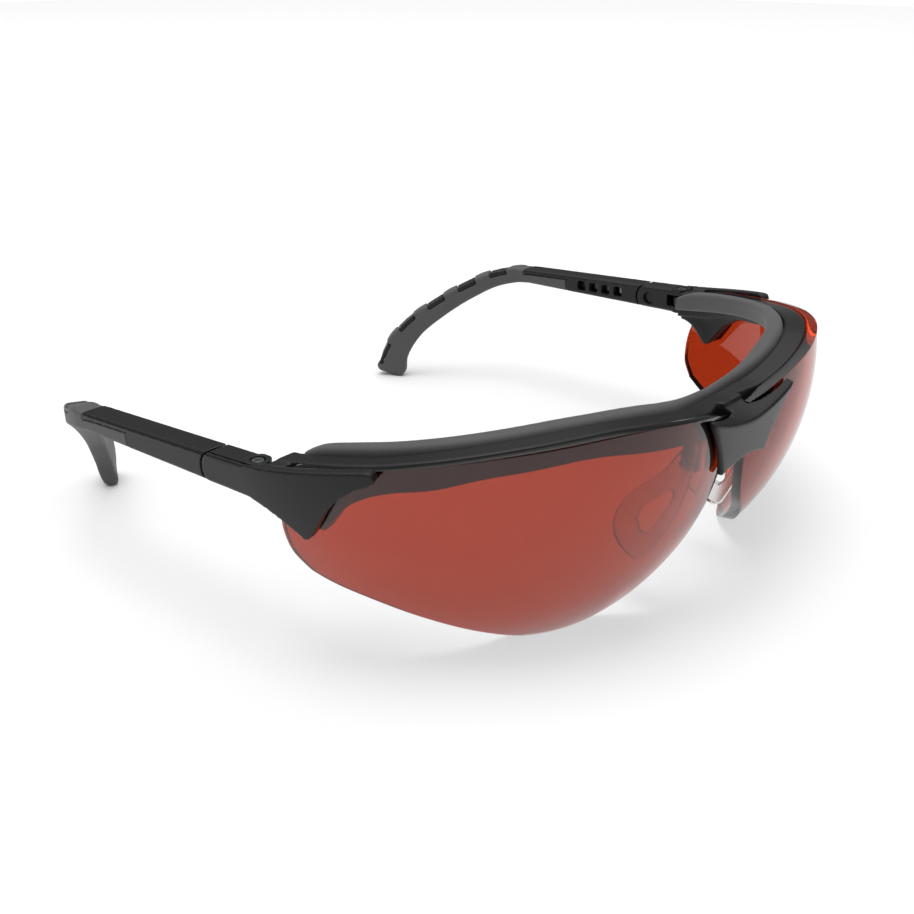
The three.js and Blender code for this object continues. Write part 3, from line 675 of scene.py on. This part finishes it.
ear_tip = make_ear_tip()
ear_tip_right = mirrored(ear_tip, "ear_rubber_right")
ear_tip.name = "ear_rubber_left"
finish_piece(ear_tip, "arm_left", "soft_grey", RUBBER, "ear_tip_left")
finish_piece(ear_tip_right, "arm_right", "soft_grey", RUBBER, "ear_tip_right")

NODE_LOOKS = {
    "hinge_block": (BLACK, 0.12, 3),
    "temple_arm": (BLACK, 0.2, 3),
    "tilt_rail": (BLACK, 0.12, 2),
    "tilt_pin": (BLACK, 0.1, 2),
    "hinge_screw": (STEEL, 0.05, 2),
    "hinge_nut": (BRASS, 0.08, 1),
    "click_spring": (STEEL, 0.08, 1),
    "nose_pad_pin": (STEEL, 0.06, 1),
}

for side in ("left", "right"):
    for stem, (look, voxel, passes) in NODE_LOOKS.items():
        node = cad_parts[f"{stem}_{side}"]
        dress(node, look)
        moulded(node, voxel * MM, passes)
    leaf_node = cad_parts[f"nose_pad_{side}"]
    leaf = new_object(f"nose_leaf_soft_{side}", [], [])
    leaf.data = leaf_node.data.copy()
    settle(moulded(leaf, 0.14 * MM, 6))
    shade_smooth(leaf)
    dress(leaf, CLEAR_SOFT)
    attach(leaf, f"nose_leaf_{side}")
    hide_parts(f"nose_pad_{side}")

dress(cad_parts["nose_mount"], BLACK)
moulded(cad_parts["nose_mount"], 0.12 * MM, 3)

# ---- Studio ----

ROOM_LOW = 0.12
ROOM_HIGH = 1.74
ROOM_DARK_BELOW = 0.25
ROOM_BRIGHT_ABOVE = 0.9
SOFTBOX_HEIGHT = 3
SOFTBOX_POWER = 24
SOFTBOX_SIZE = 1.8
FLOOR_REACH = 2
FLOOR_WHITE = (0.93, 0.93, 0.93, 1)


def make_floor():
    signs = ((-1, -1), (1, -1), (1, 1), (-1, 1))
    corners = [(sx * FLOOR_REACH, sy * FLOOR_REACH, 0) for sx, sy in signs]
    floor = new_object("floor", corners, [(0, 1, 2, 3)])
    paper = bpy.data.materials.new("white floor")
    paper.use_nodes = True
    shader = paper.node_tree.nodes["Principled BSDF"]
    shader.inputs["Base Color"].default_value = FLOOR_WHITE
    shader.inputs["Roughness"].default_value = 0.9
    shader.inputs["Specular IOR Level"].default_value = 0.1
    floor.data.materials.append(paper)


def make_world():
    """Plain white behind the object. What lights it is a room that is dark low down and bright overhead."""
    world = bpy.data.worlds.new("studio")
    world.use_nodes = True
    nodes, links = world.node_tree.nodes, world.node_tree.links
    backdrop = nodes["Background"]
    backdrop.inputs["Color"].default_value = (1, 1, 1, 1)
    room = nodes.new("ShaderNodeBackground")
    direction = nodes.new("ShaderNodeTexCoord")
    axes = nodes.new("ShaderNodeSeparateXYZ")
    links.new(direction.outputs["Generated"], axes.inputs["Vector"])
    height = nodes.new("ShaderNodeMapRange")
    height.interpolation_type = "SMOOTHSTEP"
    height.inputs["From Min"].default_value = ROOM_DARK_BELOW
    height.inputs["From Max"].default_value = ROOM_BRIGHT_ABOVE
    height.inputs["To Min"].default_value = ROOM_LOW
    height.inputs["To Max"].default_value = ROOM_HIGH
    links.new(axes.outputs["Z"], height.inputs["Value"])
    links.new(height.outputs["Result"], room.inputs["Strength"])
    seen = nodes.new("ShaderNodeLightPath")
    either = nodes.new("ShaderNodeMixShader")
    links.new(seen.outputs["Is Camera Ray"], either.inputs["Fac"])
    links.new(room.outputs["Background"], either.inputs[1])
    links.new(backdrop.outputs["Background"], either.inputs[2])
    links.new(either.outputs["Shader"], nodes["World Output"].inputs["Surface"])
    bpy.context.scene.world = world


def make_softbox():
    softbox = bpy.data.lights.new("softbox", "AREA")
    softbox.shape = "DISK"
    softbox.size = SOFTBOX_SIZE
    softbox.energy = SOFTBOX_POWER
    holder = bpy.data.objects.new("softbox", softbox)
    holder.location = (-0.25, 0.2, SOFTBOX_HEIGHT)
    holder.rotation_euler = (radians(-4), radians(-5), 0)
    bpy.context.scene.collection.objects.link(holder)


make_floor()
make_world()
make_softbox()
bpy.context.scene.view_settings.view_transform = "Standard"

# ---- Camera ----

# In metres from the hinge line, and in degrees.
CAMERA_X, CAMERA_Y, CAMERA_Z = -0.18544, -0.14401, 0.11767
CAMERA_DOWN = 24
CAMERA_TURN = -49.374
CAMERA_LENS = 46.33


def make_camera():
    camera = bpy.data.cameras.new("camera")
    camera.lens = CAMERA_LENS
    camera.sensor_width = 36
    holder = bpy.data.objects.new("camera", camera)
    holder.location = (CAMERA_X, CAMERA_Y + HINGE_Y * MM, CAMERA_Z)
    holder.rotation_euler = (radians(90 - CAMERA_DOWN), 0, radians(CAMERA_TURN))
    bpy.context.scene.collection.objects.link(holder)
    bpy.context.scene.camera = holder


make_camera()
